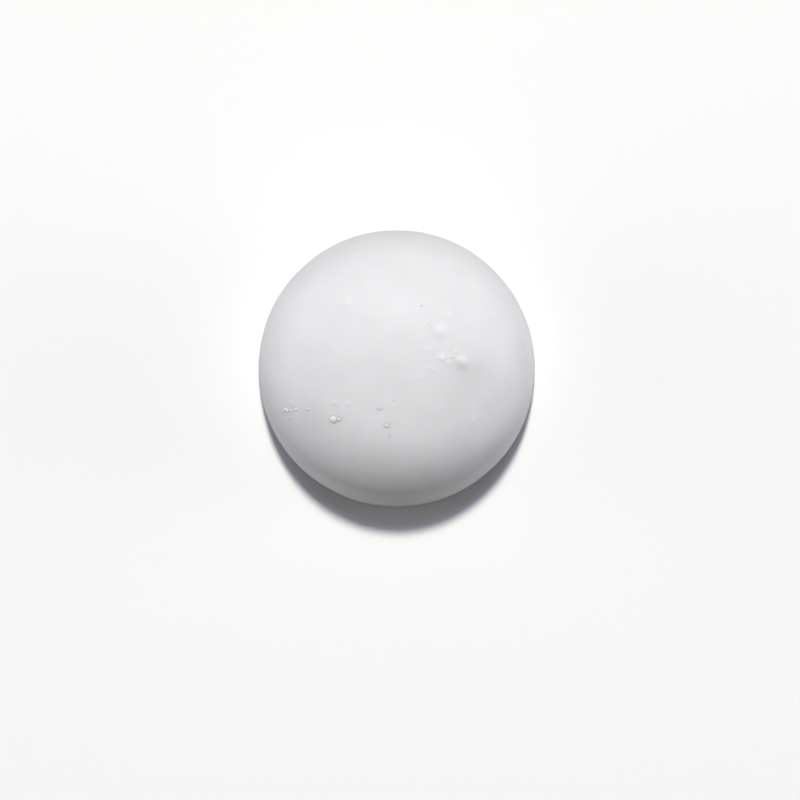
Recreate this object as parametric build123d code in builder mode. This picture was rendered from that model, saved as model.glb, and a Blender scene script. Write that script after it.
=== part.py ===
from build123d import *

import math
import os

# Shaving soap puck: one cake of hard white soap, poured in a round mould, with a domed face and a flat base.
# The puck is a single casting, so nothing in it comes apart. What is separate from it is the soap that clings
# to its face: a pair of round beads, a trail of small specks and a few stray specks.
#
# Millimetres. The origin is the centre of the base, and +Z runs up through the crown of the dome.

# The profile of the puck, from the base up: a rounded bottom edge, then three arcs that run into each other.
# The bottom edge turns a little past upright, so the side leans inward all the way up.
# The arc over the crown is centred on the axis, so the height, 32.5 mm, follows from the other arcs.
DIAMETER = 65.0
HEEL_RADIUS = 1.5
SIDE_RADIUS = 52.5
SHOULDER_RADIUS = 22.75
HEEL_TURN = 92  # degrees
SIDE_TURN = 15.5
SHOULDER_TURN = 57.5
CROWN_TURN = 180 - HEEL_TURN - SIDE_TURN - SHOULDER_TURN

# Air blisters cast into the face: x and y in plan, radius of the foot, height
BLISTERS = [
    (15.0, 1.2, 1.2, 0.30),
    (16.3, 0.5, 0.9, 0.16),
    (10.6, 2.2, 0.8, 0.18),
    (13.7, 3.7, 0.5, 0.10),
    (9.9, 8.5, 1.2, 0.15),
]

# Pinholes in the face, where an air bubble broke the skin: x and y in plan, radius
PINHOLES = [
    (5.75, 13.8, 0.30),
    (7.15, 9.7, 0.25),
    (7.9, 9.25, 0.22),
    (22.5, 12.6, 0.35),
    (13.2, 22.8, 0.25),
    (14.4, 18.8, 0.25),
]
PINHOLE_LIFT = 0.35  # a pinhole's centre stands this share of its radius above the face

# Soap that clings to the face: x and y in plan, radius
BEAD_PAIR = [
    (-14.4, -11.9, 0.75),
    (-13.35, -11.8, 0.50),
]
SPECK_TRAIL = [
    (-25.2, -9.85, 0.48),
    (-24.1, -9.8, 0.38),
    (-23.1, -9.7, 0.38),
    (-20.6, -9.6, 0.34),
    (-24.55, -11.4, 0.31),
    (-25.05, -12.1, 0.26),
    (-24.6, -12.75, 0.26),
    (-24.85, -13.7, 0.26),
]
STRAY_SPECKS = [
    (-3.95, -9.25, 0.45),
    (-2.4, -13.3, 0.50),
    (-1.55, -15.4, 0.42),
    (25.2, -6.8, 0.26),
]
BEAD_LIFT = 0.15  # a bead's centre stands this share of its radius above the face


def planes_on_face(places):
    """For each place, the plane that touches the plain dome there, with its normal pointing out of the soap."""
    planes = []
    for x, y, *_ in places:
        plumb_line = Axis((x, y, 0), (0, 0, 1))
        hits = plain_puck.part.find_intersection_points(plumb_line)
        point, normal = max(hits, key=lambda hit: hit[0].Z)
        planes.append(Plane(origin=point, z_dir=normal))
    return planes


# The plain cake: base, rounded bottom edge and dome, turned about the vertical axis
with BuildPart() as plain_puck:
    with BuildSketch(Plane.XZ):
        with BuildLine():
            base = Line((0, 0), (DIAMETER / 2 - HEEL_RADIUS, 0))
            heel = JernArc(base @ 1, base % 1, HEEL_RADIUS, HEEL_TURN)
            side = JernArc(heel @ 1, heel % 1, SIDE_RADIUS, SIDE_TURN)
            shoulder = JernArc(side @ 1, side % 1, SHOULDER_RADIUS, SHOULDER_TURN)
            crown_radius = (shoulder @ 1).X / math.sin(math.radians(CROWN_TURN))
            crown = JernArc(shoulder @ 1, shoulder % 1, crown_radius, CROWN_TURN)
            Line(crown @ 1, (0, 0))
        make_face()
    revolve(axis=Axis.Z)

# The puck as it left the mould: the plain cake with the blisters and pinholes of its face
with BuildPart() as soap_puck:
    add(plain_puck)
    for seat, (_, _, foot_radius, rise) in zip(planes_on_face(BLISTERS), BLISTERS):
        cap_radius = (foot_radius**2 + rise**2) / (2 * rise)
        with Locations(seat.offset(rise - cap_radius)):
            Sphere(cap_radius)
    for seat, (_, _, radius) in zip(planes_on_face(PINHOLES), PINHOLES):
        with Locations(seat.offset(PINHOLE_LIFT * radius)):
            Sphere(radius, mode=Mode.SUBTRACT)
soap_puck.part.label = "soap_puck"


def clinging_soap(label, places):
    """Beads of soap that stand on the face, each with its underside shaped by the face."""
    with BuildPart() as beads:
        for seat, (_, _, radius) in zip(planes_on_face(places), places):
            with Locations(seat.offset(BEAD_LIFT * radius)):
                Sphere(radius)
        add(soap_puck, mode=Mode.SUBTRACT)
    beads.part.label = label
    return beads.part


pieces = [
    soap_puck.part,
    clinging_soap("bead_pair", BEAD_PAIR),
    clinging_soap("speck_trail", SPECK_TRAIL),
    clinging_soap("stray_specks", STRAY_SPECKS),
]

os.makedirs("parts", exist_ok=True)
for piece in pieces:
    export_step(piece, f"parts/{piece.label}.step")
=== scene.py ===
"""Shaving soap puck: the looks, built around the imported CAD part.

Lengths are metres, but the tables of marks are in millimetres.
"""

import math

import bmesh
import bpy
import numpy as np
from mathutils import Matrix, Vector


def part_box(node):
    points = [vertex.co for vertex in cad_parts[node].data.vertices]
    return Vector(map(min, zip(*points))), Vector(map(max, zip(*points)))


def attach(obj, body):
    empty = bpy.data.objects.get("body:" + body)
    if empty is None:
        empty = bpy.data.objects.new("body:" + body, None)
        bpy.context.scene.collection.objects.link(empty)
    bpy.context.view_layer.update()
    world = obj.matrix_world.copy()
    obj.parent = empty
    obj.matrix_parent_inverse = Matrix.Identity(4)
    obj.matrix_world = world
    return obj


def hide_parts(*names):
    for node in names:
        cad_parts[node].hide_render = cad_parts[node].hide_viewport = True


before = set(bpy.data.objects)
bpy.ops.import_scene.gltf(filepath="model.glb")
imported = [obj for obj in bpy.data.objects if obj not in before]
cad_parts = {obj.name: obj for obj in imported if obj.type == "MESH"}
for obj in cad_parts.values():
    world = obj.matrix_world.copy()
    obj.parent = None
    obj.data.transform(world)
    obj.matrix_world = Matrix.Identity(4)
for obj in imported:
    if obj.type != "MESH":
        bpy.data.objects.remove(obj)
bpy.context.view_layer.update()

MM = 0.001
BODY = "root"

# ---------------------------------------------------------------- the puck's outline, from the frame
low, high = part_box("soap_puck")
RADIUS = (high.x - low.x) / 2
HEIGHT = high.z
HEEL_RADIUS = 1.5 * MM
BASE_RADIUS = RADIUS - HEEL_RADIUS
SIDE_LEAN = math.radians(2)  # how far the side leans inward where it leaves the heel
# how far the dome's side stays steep, as a share of its rise, and its top level, as a share of the
# radius; 0.55 for both makes an ellipse
SHOULDER_FULLNESS = 0.77
CROWN_FULLNESS = 0.60
PROFILE_STEPS = 1200  # over the dome
HEEL_STEPS = 150

# ---------------------------------------------------------------- marks of the face
# Air under the skin: x and y in plan, half length, half width, turn of the long axis in degrees, rise
BLISTERS = [
    (15.0, 1.25, 1.30, 1.25, 0, 0.48),
    (14.4, 1.8, 0.80, 0.60, -10, 0.12),
    (13.6, 3.6, 0.50, 0.42, -30, 0.14),
    (12.5, 2.4, 0.75, 0.45, 10, 0.10),
    (12.2, 1.2, 0.70, 0.50, 0, 0.10),
    (10.6, 2.15, 0.66, 0.70, 0, 0.24),
    (9.3, 2.1, 0.60, 0.45, 0, 0.08),
    (11.6, 0.75, 0.80, 0.55, 0, 0.06),
    (7.7, -0.1, 0.80, 0.55, 20, 0.08),
    (8.55, -0.8, 0.65, 0.50, 0, 0.08),
    (5.85, -2.65, 0.90, 0.60, 0, 0.06),
    (10.1, 8.3, 1.60, 1.25, -20, 0.34),
    (7.2, 4.2, 1.20, 0.90, 20, 0.10),
    (11.8, 11.95, 0.80, 0.65, 0, 0.14),
    (15.95, 9.8, 0.95, 0.80, 0, 0.12),
    (-11.15, 14.65, 0.62, 0.52, -40, 0.26),
    (-2.1, 12.4, 0.80, 0.50, 0, 0.08),
    (-0.35, 9.85, 0.70, 0.50, 0, 0.08),
    (-24.2, -8.1, 0.55, 0.45, 0, 0.14),
    (17.75, -12.1, 0.90, 0.70, 30, 0.14),
    (-14.05, -8.1, 0.70, 0.50, 0, 0.14),
    (-11.05, -8.35, 0.60, 0.45, 0, 0.10),
]
# Broken bubbles: x and y in plan, radius of the hole, depth, height of its rim
PINHOLES = [
    (5.75, 13.8, 0.36, 0.10, 0.06),
    (7.15, 9.7, 0.32, 0.08, 0.03),
    (7.9, 9.25, 0.30, 0.07, 0.03),
    (9.5, 11.35, 0.50, 0.08, 0.00),
    (22.5, 12.6, 0.36, 0.16, 0.08),
    (13.2, 22.8, 0.34, 0.14, 0.02),
    (14.4, 18.8, 0.34, 0.14, 0.02),
    (21.05, 14.6, 0.30, 0.06, 0.02),
    (22.7, 17.05, 0.32, 0.08, 0.02),
    (23.5, 16.6, 0.28, 0.06, 0.02),
    (-0.8, -7.9, 0.42, 0.09, 0.04),
]
RIM_PLACE = 1.6  # where the rim of a pinhole is highest, in radii of the hole
RIM_WIDTH = 0.6  # its breadth, in radii of the hole
# Broad, faint unevenness: x and y in plan, half length, half width, turn in degrees, rise
SWELLS = [
    (9.8, -18.8, 8.0, 5.0, 35, 0.10),
    (-12.0, -20.5, 9.0, 4.0, -25, -0.06),
    (16.4, -3.0, 4.6, 3.6, -10, -0.26),
    (0.0, -20.0, 13.0, 6.0, 0, 0.16),
    (10.5, 5.5, 6.0, 5.0, 0, 0.05),
]
# Painted light and shade in the soap's colour: x and y in plan, half length, half width, turn in
# degrees, share by which it is paler (+) or darker (-). The small pale patches, on the key's side of
# the blisters, are painted highlight; the small dark ones, below the main blister and the bead pair,
# are painted shade; the broad ones paint light and shade that the plain lights below do not give,
# such as paler side rims and lower side and a darker top rim.
PAINTED_LIGHT_AND_SHADE = [
    (9.9, 9.2, 1.5, 1.4, 0, 0.040),
    (14.9, 2.3, 1.2, 0.9, 0, 0.020),
    (12.2, 12.4, 1.1, 1.1, 0, 0.015),
    (10.6, 2.8, 0.8, 0.8, 0, 0.015),
    (-11.2, 15.1, 0.9, 0.9, 0, 0.035),
    (7.0, 4.4, 1.6, 1.4, 0, 0.012),
    (-2.1, 12.6, 1.0, 0.8, 0, 0.015),
    (15.6, -0.6, 3.4, 2.2, 0, -0.035),
    (16.5, -4.0, 7.5, 6.0, 0, -0.060),
    (20.5, 0.0, 9.0, 5.0, 90, -0.030),
    (-21.0, -2.0, 8.0, 10.0, 0, -0.035),
    (-20.0, -13.0, 6.0, 5.0, 0, -0.050),
    (0.0, -15.0, 11.0, 5.0, 0, 0.050),
    (-14.0, -12.5, 4.0, 3.0, 0, -0.015),
    (31.7, -1.0, 14.0, 5.5, 90, 0.190),
    (-31.7, 3.0, 14.0, 5.0, 90, 0.115),
    (0.0, -27.6, 15.0, 3.0, 0, 0.110),
    (-16.0, 24.5, 9.0, 6.0, 30, -0.045),
    (16.0, 24.5, 9.0, 6.0, -30, -0.035),
]

# ---------------------------------------------------------------- soap that clings to the face
# x and y in plan, half length, half width, turn of the long axis in degrees, height
BEADS = {
    "bead_pair": [
        (-14.4, -11.85, 0.98, 0.90, 0, 0.46),
        (-13.15, -11.9, 0.74, 0.52, -5, 0.18),
        (-12.3, -11.95, 0.60, 0.32, -10, 0.05),
    ],
    "speck_trail": [
        (-25.35, -9.75, 0.70, 0.46, 0, 0.24),
        (-26.1, -9.9, 0.50, 0.24, 0, 0.09),
        (-24.15, -9.9, 0.50, 0.34, -10, 0.17),
        (-23.15, -9.6, 0.64, 0.34, 10, 0.19),
        (-20.6, -9.55, 0.74, 0.32, 5, 0.15),
        (-24.55, -11.45, 0.48, 0.34, -30, 0.15),
        (-25.1, -12.15, 0.36, 0.38, 0, 0.17),
        (-24.6, -12.8, 0.48, 0.32, 35, 0.14),
        (-24.9, -13.75, 0.60, 0.32, 0, 0.14),
    ],
    "stray_specks": [
        (-3.95, -9.2, 0.66, 0.50, -10, 0.11),
        (-2.4, -13.35, 0.70, 0.54, -15, 0.14),
        (-1.55, -15.45, 0.56, 0.48, 0, 0.10),
        (25.2, -6.8, 0.36, 0.32, 0, 0.10),
    ],
}
BEAD_SINK = 0.10 * MM  # how far a bead's underside lies within the puck
BEAD_ROUNDING = 1.4  # 1 makes half a ball, more than 1 a drop that thins out to its edge
COLLAR_SPREAD = 1.5  # reach of the soap drawn up around a bead, in bead sizes
COLLAR_RISE = 0.06  # its height, in bead heights
BEAD_SUBDIVISIONS = 4
BEAD_LUMPS = 5  # waves that make each bead uneven
LUMP_HEIGHT = 0.05  # of each wave, in bead sizes
LUMP_TIGHTNESS = 1.2, 2.6  # fewest and most radians of a wave per bead size

# ---------------------------------------------------------------- unevenness of the whole face
# count, shortest and longest wave, height of each wave: slow swells of the skin, then finer ones
WAVES = [
    (14, 9 * MM, 26 * MM, 0.012 * MM),
    (22, 3.2 * MM, 7 * MM, 0.0030 * MM),
]
SEED = 7

# ---------------------------------------------------------------- mesh
FACE_CELLS = 144  # cells across the grid that is pressed into the disc of the face
HALVINGS = 3  # how often cells near a mark may be halved
CELLS_PER_MARK = 4.5  # cells across half a mark, where halving allows it
MARK_REACH = 1.9  # how far from its centre a mark shapes the face, in mark sizes
BASE_RINGS = 14
SINK_DEPTH = 0.35 * MM  # the underside shrinks a little in its middle as the soap sets
SINK_EDGE = 0.86  # where the sunk part begins, in radii of the base
SINK_SLOPE = 0.7  # how far it slopes before it levels out, in radii of the base
# waves round the base, height, offset: how uneven the sunk part is
SINK_RIPPLES = [(2, 0.12, 0.7), (3, 0.07, 2.1)]


def face_profile():
    """Radius, height and distance along the surface, from the crown over dome and heel to the base."""
    t = np.linspace(1, 0, PROFILE_STEPS)
    foot = BASE_RADIUS + HEEL_RADIUS * math.cos(SIDE_LEAN), HEEL_RADIUS * (1 + math.sin(SIDE_LEAN))
    side = SHOULDER_FULLNESS * (HEIGHT - foot[1])
    handles = np.array([
        foot,
        (foot[0] - side * math.tan(SIDE_LEAN), foot[1] + side),
        (CROWN_FULLNESS * RADIUS, HEIGHT),
        (0, HEIGHT),
    ])
    weights = np.stack([(1 - t) ** 3, 3 * (1 - t) ** 2 * t, 3 * (1 - t) * t**2, t**3], 1)
    dome = weights @ handles
    turn = np.linspace(-SIDE_LEAN, math.pi / 2, HEEL_STEPS)[1:]
    heel = np.stack([BASE_RADIUS + HEEL_RADIUS * np.cos(turn), HEEL_RADIUS * (1 - np.sin(turn))], 1)
    outline = np.concatenate([dome, heel])
    steps = np.hypot(*np.diff(outline, axis=0).T)
    return outline[:, 0], outline[:, 1], np.concatenate([[0], np.cumsum(steps)])


PROFILE_R, PROFILE_Z, PROFILE_S = face_profile()
FACE_LENGTH = PROFILE_S[-1]


def on_face(disc):
    """Points and outward normals of the smooth face for points of the unit disc, as two arrays."""
    reach = np.hypot(disc[:, 0], disc[:, 1])
    angle = np.arctan2(disc[:, 1], disc[:, 0])
    s = reach * FACE_LENGTH
    r = np.interp(s, PROFILE_S, PROFILE_R)
    z = np.interp(s, PROFILE_S, PROFILE_Z)
    dr = np.interp(s, PROFILE_S, np.gradient(PROFILE_R, PROFILE_S))
    dz = np.interp(s, PROFILE_S, np.gradient(PROFILE_Z, PROFILE_S))
    tilt = np.hypot(dr, dz)
    points = np.stack([r * np.cos(angle), r * np.sin(angle), z], 1)
    normals = np.stack([-dz / tilt * np.cos(angle), -dz / tilt * np.sin(angle), dr / tilt], 1)
    return points, normals


def disc_of_plan(x, y):
    """The point of the unit disc that lies at plan position x, y of the dome."""
    dome = slice(0, PROFILE_STEPS)
    reach = np.interp(math.hypot(x, y), PROFILE_R[dome], PROFILE_S[dome]) / FACE_LENGTH
    angle = math.atan2(y, x)
    return np.array([[reach * math.cos(angle), reach * math.sin(angle)]])


def seat(x, y, turn=0.0):
    """A point on the dome, given in plan in mm, with a mark's long axis, short axis and normal."""
    points, normals = on_face(disc_of_plan(x * MM, y * MM))
    point, normal = Vector(points[0]), Vector(normals[0])
    sideways = Vector((math.cos(math.radians(turn)), math.sin(math.radians(turn)), 0))
    long_axis = (sideways - sideways.dot(normal) * normal).normalized()
    return point, long_axis, normal.cross(long_axis), normal


def distance_from(points, x, y, half_length, half_width, turn=0.0):
    """How far each point is from a mark's centre, in units of the mark's own half sizes."""
    centre, long_axis, short_axis, _ = seat(x, y, turn)
    offset = points - np.array(centre)
    along = offset @ np.array(long_axis) / (half_length * MM)
    across = offset @ np.array(short_axis) / (half_width * MM)
    normal = np.array(long_axis.cross(short_axis))
    depth = offset @ normal / (max(half_length, half_width) * MM)
    return np.sqrt(along**2 + across**2 + depth**2)


def all_waves(points):
    """Random unevenness of a few hundredths of a millimetre."""
    draw = np.random.default_rng(SEED)
    total = np.zeros(len(points))
    for count, shortest, longest, height in WAVES:
        for _ in range(count):
            along = draw.normal(size=3)
            along /= np.linalg.norm(along)
            length = draw.uniform(shortest, longest)
            phase = draw.uniform(0, 2 * math.pi)
            total += height * np.cos(points @ along * 2 * math.pi / length + phase)
    return total


def face_relief(points):
    """How far each point of the smooth face moves out along its normal."""
    relief = all_waves(points)
    for x, y, half_length, half_width, turn, rise in BLISTERS + SWELLS:
        away = distance_from(points, x, y, half_length, half_width, turn)
        relief += rise * MM * np.exp(-away**2)
    for x, y, radius, depth, rim in PINHOLES:
        away = distance_from(points, x, y, radius, radius)
        relief -= depth * MM * np.exp(-away**4)
        relief += rim * MM * np.exp(-((away - RIM_PLACE) / RIM_WIDTH) ** 2)
    for beads in BEADS.values():
        for x, y, half_length, half_width, turn, height in beads:
            spread = half_length * COLLAR_SPREAD, half_width * COLLAR_SPREAD
            away = distance_from(points, x, y, *spread, turn)
            relief += COLLAR_RISE * height * MM * np.exp(-away**2)
    return relief


def painted_light_factor(points):
    """The factor of painted light and shade by which the soap is paler or darker at each point."""
    tone = np.ones(len(points))
    for x, y, half_length, half_width, turn, change in PAINTED_LIGHT_AND_SHADE:
        away = distance_from(points, x, y, half_length, half_width, turn)
        tone += change * np.exp(-away**2)
    return tone


def marks_to_refine():
    """Disc position and size of each mark that is too fine for the plain grid."""
    marks = [(x, y, half_length) for x, y, half_length, *_ in BLISTERS]
    marks += [(x, y, radius) for x, y, radius, *_ in PINHOLES]
    for beads in BEADS.values():
        marks += [(x, y, half_length) for x, y, half_length, *_ in beads]
    return [(disc_of_plan(x * MM, y * MM)[0], size * MM) for x, y, size in marks]


def face_grid():
    """The unit disc as a mesh with no pole in its middle, finer around the marks."""
    line = np.linspace(-1, 1, FACE_CELLS + 1)
    grid_x, grid_y = (g.ravel() for g in np.meshgrid(line, line))
    wide = np.abs(grid_x) >= np.abs(grid_y)
    reach = np.where(wide, grid_x, grid_y)
    safe = np.where(reach == 0, 1, reach)
    angle = math.pi / 4 * np.where(wide, grid_y / safe, 2 - grid_x / safe)
    row = FACE_CELLS + 1
    bm = bmesh.new()
    for x, y in zip(reach * np.cos(angle), reach * np.sin(angle)):
        bm.verts.new((x, y, 0))
    bm.verts.ensure_lookup_table()
    for i in range(FACE_CELLS):
        for j in range(FACE_CELLS):
            corner = i * row + j
            around = corner, corner + 1, corner + row + 1, corner + row
            bm.faces.new([bm.verts[k] for k in around])
    cell = 2 * FACE_LENGTH / FACE_CELLS
    for _ in range(HALVINGS):
        fine = [mark for mark in marks_to_refine() if mark[1] < CELLS_PER_MARK * cell]
        coarse = [(place, MARK_REACH * size + cell) for place, size in fine]
        near = set()
        for face in bm.faces:
            centre = face.calc_center_median()
            for place, mark_edge in coarse:
                away = math.hypot(centre.x - place[0], centre.y - place[1]) * FACE_LENGTH
                if away < mark_edge:
                    near.update(face.edges)
                    break
        bmesh.ops.subdivide_edges(bm, edges=list(near), cuts=1, use_grid_fill=True)
        cell /= 2
    bmesh.ops.triangulate(bm, faces=[f for f in bm.faces if len(f.verts) > 4])
    bm.verts.index_update()
    disc = np.array([v.co[:2] for v in bm.verts])
    faces = [[v.index for v in f.verts] for f in bm.faces]
    bm.free()
    return disc, faces


def base_height(r, angle):
    """Height of the underside above the table: flat near its edge, sunk a little in the middle."""
    inward = np.clip((SINK_EDGE * BASE_RADIUS - r) / (SINK_SLOPE * BASE_RADIUS), 0, 1)
    smooth = inward**2 * (3 - 2 * inward)
    ripple = 1
    for count, height, offset in SINK_RIPPLES:
        ripple = ripple + height * np.cos(count * angle + offset)
    return SINK_DEPTH * smooth * ripple


def puck_mesh():
    """The whole cake as one closed mesh: the face with its relief, the heel and the underside."""
    disc, faces = face_grid()
    points, normals = on_face(disc)
    reach = np.hypot(disc[:, 0], disc[:, 1])
    heel_start = PROFILE_S[PROFILE_STEPS - 1] / FACE_LENGTH
    fade = np.clip((1 - reach) / (1 - heel_start), 0, 1)
    points = points + normals * (face_relief(points) * fade)[:, None]
    edge = np.where(reach > 1 - 1e-6)[0]
    edge = edge[np.argsort(np.arctan2(disc[edge, 1], disc[edge, 0]))]
    angle = np.arctan2(disc[edge, 1], disc[edge, 0])
    rings = [edge]
    vertices = [points]
    count = len(points)
    for step in range(1, BASE_RINGS + 1):
        r = np.full(len(edge), BASE_RADIUS * (1 - step / (BASE_RINGS + 1)))
        vertices.append(np.stack([r * np.cos(angle), r * np.sin(angle), base_height(r, angle)], 1))
        rings.append(np.arange(count, count + len(edge)))
        count += len(edge)
    vertices.append(np.array([[0, 0, SINK_DEPTH]]))
    for outer, inner in zip(rings, rings[1:]):
        outer_next, inner_next = np.roll(outer, -1), np.roll(inner, -1)
        faces += np.stack([outer, inner, inner_next, outer_next], 1).tolist()
    last = rings[-1]
    faces += np.stack([last, np.full(len(last), count), np.roll(last, -1)], 1).tolist()
    return np.concatenate(vertices), faces


def new_object(name, vertices, faces, material):
    """A smooth-shaded object in the scene."""
    mesh = bpy.data.meshes.new(name)
    mesh.from_pydata([tuple(v) for v in vertices], [], faces)
    mesh.update()
    mesh.shade_smooth()
    mesh.materials.append(material)
    thing = bpy.data.objects.new(name, mesh)
    bpy.context.scene.collection.objects.link(thing)
    return thing


def bead_mesh(x, y, half_length, half_width, turn, height, draw):
    """Vertices and faces of one bead: an uneven drop whose underside lies just within the puck."""
    bm = bmesh.new()
    bmesh.ops.create_icosphere(bm, subdivisions=BEAD_SUBDIVISIONS, radius=1)
    shape = np.array([v.co for v in bm.verts])
    faces = [[v.index for v in f.verts] for f in bm.faces]
    bm.free()
    swell = np.ones(len(shape))
    for _ in range(BEAD_LUMPS):
        along = draw.normal(size=3)
        along *= draw.uniform(*LUMP_TIGHTNESS) / np.linalg.norm(along)
        swell += LUMP_HEIGHT * np.cos(shape @ along + draw.uniform(0, 2 * math.pi))
    shape = shape * swell[:, None]
    top = np.clip(shape[:, 2], 0, None) ** BEAD_ROUNDING * height * MM
    lift = np.where(shape[:, 2] > 0, top, shape[:, 2] * BEAD_SINK)
    point, long_axis, short_axis, normal = (np.array(v) for v in seat(x, y, turn))
    along = shape[:, 0] * half_length * MM
    across = shape[:, 1] * half_width * MM
    placed = point + np.outer(along, long_axis) + np.outer(across, short_axis) + np.outer(lift, normal)
    return placed, faces


def bead_group(name, beads, material):
    """All the beads of one CAD node as one mesh of separate closed shells."""
    draw = np.random.default_rng(SEED + len(name))
    vertices, faces, count = [], [], 0
    for bead in beads:
        shell, shell_faces = bead_mesh(*bead, draw)
        faces += [[count + k for k in face] for face in shell_faces]
        vertices.append(shell)
        count += len(shell)
    return new_object(name, np.concatenate(vertices), faces, material)


# ---------------------------------------------------------------- materials
LIGHT_SOAP = (0.703, 0.704, 0.722)
DARK_SOAP = (0.683, 0.684, 0.701)
CAST_REACH = 1.7 * MM  # how far light reaches into the cast soap before it turns back
DRY_REACH = 0.3 * MM  # the same for the beads, which are drier and denser
REACH_OF_COLORS = (1.0, 0.95, 0.85)
SOAP_SPECULAR = 0.45
SOAP_IOR = 1.46
ROUGHNESS = 0.52, 0.66
MOTTLE_SCALE = 150  # noise cells per metre: light and dark soap
SHEEN_SCALE = 400  # smoother and rougher skin
GRAIN_SCALE = 2500  # fine grain of the skin
GRAIN_HEIGHT = 0.02 * MM
GRAIN_STRENGTH = 0.35


def soap_material(name, reach, with_painted_light=False):
    """Mottled soap that light enters as deep as reach; with painted light it also follows the painted
    light and shade stored on its mesh.
    """
    material = bpy.data.materials.new(name)
    material.use_nodes = True
    tree = material.node_tree
    nodes, links = tree.nodes, tree.links
    shader = nodes["Principled BSDF"]
    shader.inputs["Subsurface Weight"].default_value = 1.0
    shader.inputs["Subsurface Radius"].default_value = REACH_OF_COLORS
    shader.inputs["Subsurface Scale"].default_value = reach
    shader.inputs["Specular IOR Level"].default_value = SOAP_SPECULAR
    shader.inputs["IOR"].default_value = SOAP_IOR
    where = nodes.new("ShaderNodeTexCoord")

    def noise(scale, detail, roughness=0.5):
        node = nodes.new("ShaderNodeTexNoise")
        node.inputs["Scale"].default_value = scale
        node.inputs["Detail"].default_value = detail
        node.inputs["Roughness"].default_value = roughness
        links.new(where.outputs["Object"], node.inputs["Vector"])
        return node.outputs["Fac"]

    def remap(value, from_low, from_high, to_low, to_high):
        node = nodes.new("ShaderNodeMapRange")
        node.inputs["From Min"].default_value = from_low
        node.inputs["From Max"].default_value = from_high
        node.inputs["To Min"].default_value = to_low
        node.inputs["To Max"].default_value = to_high
        links.new(value, node.inputs["Value"])
        return node.outputs["Result"]

    mottle = nodes.new("ShaderNodeMix")
    mottle.data_type = "RGBA"
    mottle.inputs["A"].default_value = (*LIGHT_SOAP, 1)
    mottle.inputs["B"].default_value = (*DARK_SOAP, 1)
    links.new(remap(noise(MOTTLE_SCALE, 4), 0.35, 0.65, 0, 1), mottle.inputs["Factor"])
    if with_painted_light:
        # the mesh's "tone" attribute holds painted light and shade, which scales the soap's colour
        tone = nodes.new("ShaderNodeAttribute")
        tone.attribute_name = "tone"
        skin = nodes.new("ShaderNodeVectorMath")
        skin.operation = "SCALE"
        links.new(mottle.outputs["Result"], skin.inputs[0])
        links.new(tone.outputs["Fac"], skin.inputs["Scale"])
        links.new(skin.outputs["Vector"], shader.inputs["Base Color"])
    else:
        links.new(mottle.outputs["Result"], shader.inputs["Base Color"])
    links.new(remap(noise(SHEEN_SCALE, 3), 0.3, 0.7, *ROUGHNESS), shader.inputs["Roughness"])
    bump = nodes.new("ShaderNodeBump")
    bump.inputs["Strength"].default_value = GRAIN_STRENGTH
    bump.inputs["Distance"].default_value = GRAIN_HEIGHT
    links.new(noise(GRAIN_SCALE, 5, 0.6), bump.inputs["Height"])
    links.new(bump.outputs["Normal"], shader.inputs["Normal"])
    return material


# ---------------------------------------------------------------- pieces
cast_soap = soap_material("cast_soap", CAST_REACH, with_painted_light=True)
dry_soap = soap_material("dry_soap", DRY_REACH)
puck_vertices, puck_faces = puck_mesh()
puck = new_object("cast_puck", puck_vertices, puck_faces, cast_soap)
# painted light and shade, kept on the puck's points under the name "tone"
painted_light_layer = puck.data.attributes.new("tone", "FLOAT", "POINT")
painted_light_layer.data.foreach_set("value", painted_light_factor(puck_vertices))
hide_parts("soap_puck")
pieces = [puck]
for node, beads in BEADS.items():
    group = bead_group("clinging_" + node, beads, dry_soap)
    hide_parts(node)
    pieces.append(group)
for piece in pieces:
    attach(piece, BODY)

# ---------------------------------------------------------------- floor, light and camera
FLOOR_SIZE = 6.0
FLOOR_COLOR = 0.85
FLOOR_BOUNCE = 0.5  # the share of that which the floor throws back on the puck
KEY_AZIMUTH = 90  # degrees; 0 is +X and 90 is +Y
KEY_ELEVATION = 62.1  # degrees above the floor
KEY_DISTANCE = 3.0
KEY_WIDTH = math.radians(6)  # how wide and how deep the key looks from the puck
KEY_DEPTH = math.radians(6.5)
KEY_RADIANCE = 2.66
KEY_COLOR = (1.047, 1.058, 0.86)
AREA_SHARE = 1.27  # the energy that an elliptical light needs for one unit of irradiance
BACKGROUND = 0.9  # what the camera sees beyond the floor
CAMERA_HEIGHT = 1.0
VIEW_WIDTH = 2 * 2.895 * RADIUS  # of the picture, where it cuts the puck's widest ring
CAMERA_BACK = -0.2287 * RADIUS  # the camera is a little off the puck's axis
CAMERA_SIDE = 0.0246 * RADIUS
SENSOR = 36.0


def direction(azimuth, elevation):
    """A unit vector; azimuth 0 is +X and 90 is +Y, in degrees."""
    a, e = math.radians(azimuth), math.radians(elevation)
    return Vector((math.cos(e) * math.cos(a), math.cos(e) * math.sin(a), math.sin(e)))


KEY_DIRECTION = direction(KEY_AZIMUTH, KEY_ELEVATION)
# direction, sharpness, strength, colour: a bluish glow round the key, white cards at the right and
# at the left, and a faint warm one at the front left
GLOWS = [
    (KEY_DIRECTION, 200, 25.5, (0.85, 0.80, 1.42)),
    (direction(0, 4), 12, 2.0, (0.98, 0.99, 1.03)),
    (direction(0, 0), 40, 8.5, (0.98, 0.99, 1.03)),
    (direction(180, 6), 12, 2.1, (0.95, 0.98, 1.08)),
    (direction(180, 0), 40, 3.0, (0.95, 0.98, 1.08)),
    (direction(-150, 8), 12, 0.85, (1.08, 1.04, 0.85)),
]


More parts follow.
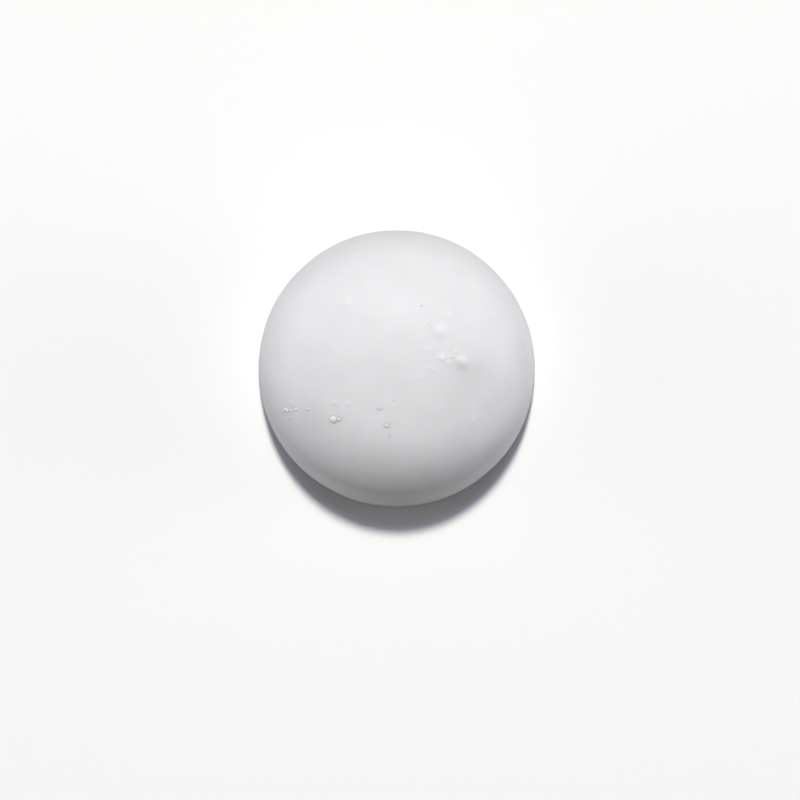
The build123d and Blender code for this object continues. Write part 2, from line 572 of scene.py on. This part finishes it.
def flat_floor():
    """A plain pale floor, which the camera sees paler than the puck does."""
    mesh = bpy.data.meshes.new("floor")
    half = FLOOR_SIZE / 2
    corners = [(-half, -half, 0), (half, -half, 0), (half, half, 0), (-half, half, 0)]
    mesh.from_pydata(corners, [], [(0, 1, 2, 3)])
    material = bpy.data.materials.new("floor")
    material.use_nodes = True
    nodes, links = material.node_tree.nodes, material.node_tree.links
    shader = nodes["Principled BSDF"]
    shader.inputs["Roughness"].default_value = 1.0
    shader.inputs["Specular IOR Level"].default_value = 0.0
    path = nodes.new("ShaderNodeLightPath")
    tone = nodes.new("ShaderNodeMix")
    tone.data_type = "RGBA"
    tone.inputs["A"].default_value = (FLOOR_COLOR * FLOOR_BOUNCE,) * 3 + (1,)
    tone.inputs["B"].default_value = (FLOOR_COLOR,) * 3 + (1,)
    links.new(path.outputs["Is Camera Ray"], tone.inputs["Factor"])
    links.new(tone.outputs["Result"], shader.inputs["Base Color"])
    mesh.materials.append(material)
    floor = bpy.data.objects.new("floor", mesh)
    bpy.context.scene.collection.objects.link(floor)


def key_light():
    """A round, soft lamp behind and above the puck."""
    light = bpy.data.lights.new("key", "AREA")
    light.shape = "ELLIPSE"
    light.size = 2 * KEY_DISTANCE * math.tan(KEY_WIDTH / 2)
    light.size_y = 2 * KEY_DISTANCE * math.tan(KEY_DEPTH / 2)
    light.energy = KEY_RADIANCE * math.pi * KEY_DISTANCE**2 * math.pi / 4 * AREA_SHARE
    light.color = KEY_COLOR
    lamp = bpy.data.objects.new("key", light)
    lamp.location = KEY_DIRECTION * KEY_DISTANCE
    lamp.rotation_euler = KEY_DIRECTION.to_track_quat("Z", "Y").to_euler()
    bpy.context.scene.collection.objects.link(lamp)


def studio_world():
    """Soft glows that light the puck, and a plain pale background for the camera."""
    world = bpy.data.worlds.new("studio")
    bpy.context.scene.world = world
    world.use_nodes = True
    nodes, links = world.node_tree.nodes, world.node_tree.links
    where = nodes.new("ShaderNodeTexCoord")
    pale = nodes["Background"]
    pale.inputs["Color"].default_value = (BACKGROUND,) * 3 + (1,)

    def math_node(operation, value, number):
        node = nodes.new("ShaderNodeMath")
        node.operation = operation
        links.new(value, node.inputs[0])
        node.inputs[1].default_value = number
        return node.outputs["Value"]

    total = None
    for towards, sharpness, strength, color in GLOWS:
        facing = nodes.new("ShaderNodeVectorMath")
        facing.operation = "DOT_PRODUCT"
        links.new(where.outputs["Generated"], facing.inputs[0])
        facing.inputs[1].default_value = towards
        lobe = math_node("POWER", math_node("MAXIMUM", facing.outputs["Value"], 0.0), sharpness)
        glow = nodes.new("ShaderNodeBackground")
        glow.inputs["Color"].default_value = (*color, 1)
        links.new(math_node("MULTIPLY", lobe, strength), glow.inputs["Strength"])
        if total is None:
            total = glow.outputs["Background"]
            continue
        both = nodes.new("ShaderNodeAddShader")
        links.new(total, both.inputs[0])
        links.new(glow.outputs["Background"], both.inputs[1])
        total = both.outputs["Shader"]
    path = nodes.new("ShaderNodeLightPath")
    seen = nodes.new("ShaderNodeMixShader")
    links.new(path.outputs["Is Camera Ray"], seen.inputs["Fac"])
    links.new(total, seen.inputs[1])
    links.new(pale.outputs["Background"], seen.inputs[2])
    links.new(seen.outputs["Shader"], nodes["World Output"].inputs["Surface"])


def overhead_camera():
    """A camera that looks straight down."""
    data = bpy.data.cameras.new("camera")
    data.sensor_width = SENSOR
    data.lens = SENSOR * (CAMERA_HEIGHT - HEEL_RADIUS) / VIEW_WIDTH
    camera = bpy.data.objects.new("camera", data)
    camera.location = (CAMERA_SIDE, CAMERA_BACK, CAMERA_HEIGHT)
    bpy.context.scene.collection.objects.link(camera)
    bpy.context.scene.camera = camera


flat_floor()
key_light()
studio_world()
overhead_camera()
bpy.context.scene.view_settings.view_transform = "Standard"
